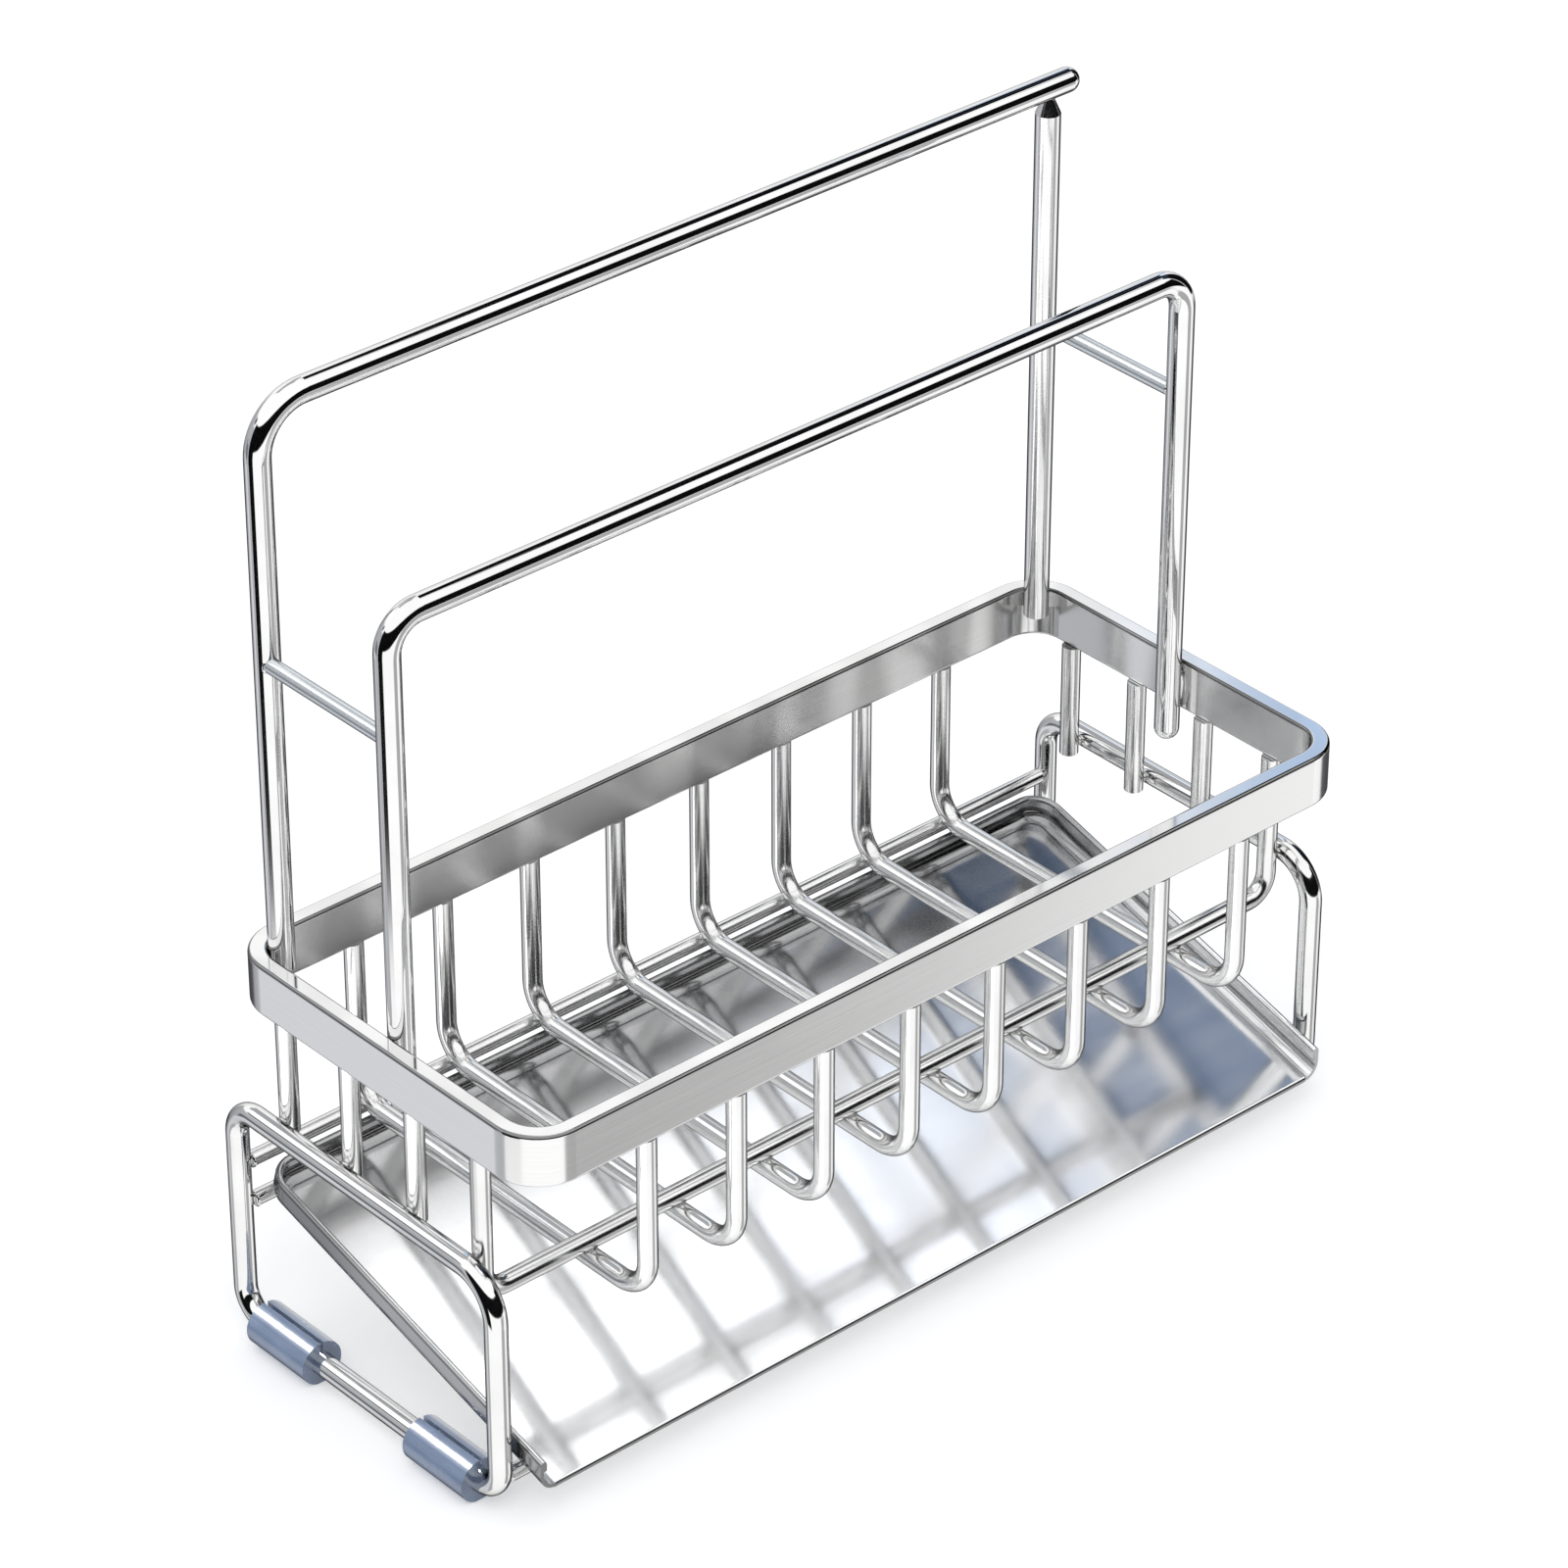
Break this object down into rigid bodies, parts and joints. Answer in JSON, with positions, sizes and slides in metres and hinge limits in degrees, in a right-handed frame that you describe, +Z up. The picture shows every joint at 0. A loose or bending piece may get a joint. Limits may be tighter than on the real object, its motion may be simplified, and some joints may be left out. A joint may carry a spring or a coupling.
{
  "type": "sponge holder",
  "caption": "Steel wire sponge basket on side frames, with a flat rim, two cloth hangers above and a sloping drip tray that draws out of the front.",
  "frame": {"origin": "on the surface that the four foot sleeves stand on, under the middle of the rim", "axes": "+X along the rim, from the left end to the right, +Y to the back, so the tray drains and draws out towards -Y, +Z up"},
  "size_m": [0.2218, 0.09, 0.2052],
  "materials": {
    "satin_strip": "satin, fine lengthwise grain",
    "basket_wire": "polished",
    "frame_wire": "polished",
    "hanger_wire": "bright polish",
    "tray_sheet": "soft mirror sheet",
    "foot_sleeve": "smooth, slightly glossy"
  },
  "bodies": {
    "holder": {"rim_band": "satin_strip", "cross_wire_1": "basket_wire", "cross_wire_2": "basket_wire", "cross_wire_3": "basket_wire", "cross_wire_4": "basket_wire", "cross_wire_5": "basket_wire", "cross_wire_6": "basket_wire", "cross_wire_7": "basket_wire", "cross_wire_8": "basket_wire", "front_floor_wire": "basket_wire", "rear_floor_wire": "basket_wire", "left_end_post_1": "basket_wire", "left_end_post_2": "basket_wire", "left_end_post_3": "basket_wire", "right_end_post_1": "basket_wire", "right_end_post_2": "basket_wire", "right_end_post_3": "basket_wire", "left_side_frame": "frame_wire", "right_side_frame": "frame_wire", "front_cross_rail": "frame_wire", "rear_cross_rail": "frame_wire", "left_front_foot_sleeve": "foot_sleeve", "left_rear_foot_sleeve": "foot_sleeve", "right_front_foot_sleeve": "foot_sleeve", "right_rear_foot_sleeve": "foot_sleeve", "front_hanger": "hanger_wire", "rear_hanger": "hanger_wire", "rear_hanger_right_leg": "hanger_wire", "left_hanger_tie": "hanger_wire", "right_hanger_tie": "hanger_wire"},
    "tray": {"drip_tray": "tray_sheet"}
  },
  "joints": [
    {"name": "tray_slide", "type": "slide", "parent": "holder", "child": "tray", "axis": [0, -1, 0], "range_m": [0, 0.095]}
  ]
}
